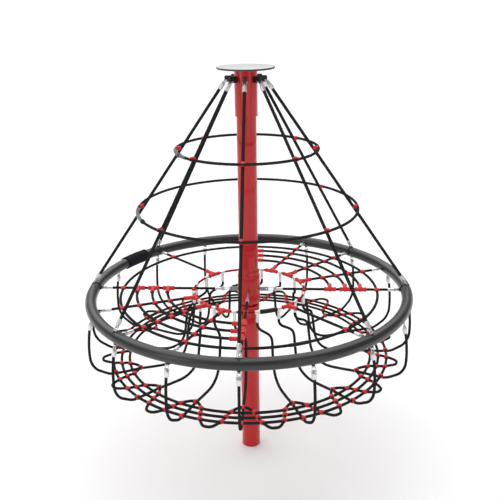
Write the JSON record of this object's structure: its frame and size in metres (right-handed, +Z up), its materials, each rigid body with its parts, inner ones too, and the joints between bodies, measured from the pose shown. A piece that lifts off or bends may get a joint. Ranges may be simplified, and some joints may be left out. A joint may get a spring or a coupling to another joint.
{
  "type": "rotating rope carousel",
  "caption": "Turning rope climber: a post carries a mast, a cone of ropes, a ring with a rope web, and a hanging rope basket.",
  "frame": {"origin": "centre of the post's foot at ground level", "axes": "+Z up along the mast, +X and +Y along the web's main spokes"},
  "size_m": [2.4556, 2.4556, 2.987],
  "materials": {
    "red_steel": "gloss powder coat",
    "bright_steel": "satin",
    "dark_steel": "galvanised",
    "top_plate": "satin laminate",
    "ring_cover": "soft matte cover",
    "sleeve": "matte",
    "inner_ring_hose": "matte hose",
    "rope": "braided rope on a steel core"
  },
  "bodies": {
    "post": {"ground_post": "red_steel", "post_collar": "red_steel", "spindle": "bright_steel", "lower_bearing": "dark_steel"},
    "carousel": {"mast_tube": "red_steel", "hub_bearing": "dark_steel", "head_bearing": "dark_steel", "hub_sleeve": "red_steel", "head_sleeve": "red_steel", "top_plate": "top_plate", "plate_screw_1": "bright_steel", "plate_screw_2": "bright_steel", "plate_screw_3": "bright_steel", "plate_screw_4": "bright_steel", "head_lugs": "dark_steel", "hub_lugs": "dark_steel", "main_rope_1": "rope", "main_rope_2": "rope", "main_rope_3": "rope", "main_rope_4": "rope", "main_rope_5": "rope", "main_rope_6": "rope", "main_rope_7": "rope", "main_rope_8": "rope", "upper_hoop": "rope", "lower_hoop": "rope", "main_ring": "ring_cover", "ring_sleeve": "sleeve", "main_spoke_1": "rope", "main_spoke_2": "rope", "main_spoke_3": "rope", "main_spoke_4": "rope", "web_panel_a": "rope", "web_panel_b": "rope", "side_spoke_a": "rope", "side_spoke_b": "rope", "web_rim": "rope", "inner_ring": "inner_ring_hose", "inner_sleeve": "sleeve", "hanging_rope_1": "rope", "hanging_rope_2": "rope", "hanging_rope_3": "rope", "hanging_rope_4": "rope", "hanging_rope_5": "rope", "hanging_rope_6": "rope", "hanging_rope_7": "rope", "hanging_rope_8": "rope", "hanging_rope_9": "rope", "hanging_rope_10": "rope", "hanging_rope_11": "rope", "hanging_rope_12": "rope", "hanging_rope_13": "rope", "hanging_rope_14": "rope", "hanging_rope_15": "rope", "hanging_rope_16": "rope", "basket_circle_1": "rope", "basket_circle_2": "rope", "basket_circle_3": "rope", "wave_rope": "rope"}
  },
  "joints": [
    {"name": "spin", "type": "hinge", "parent": "post", "child": "carousel", "pos_m": [0, 0, 1.354], "axis": [0, 0, 1], "continuous": true}
  ]
}
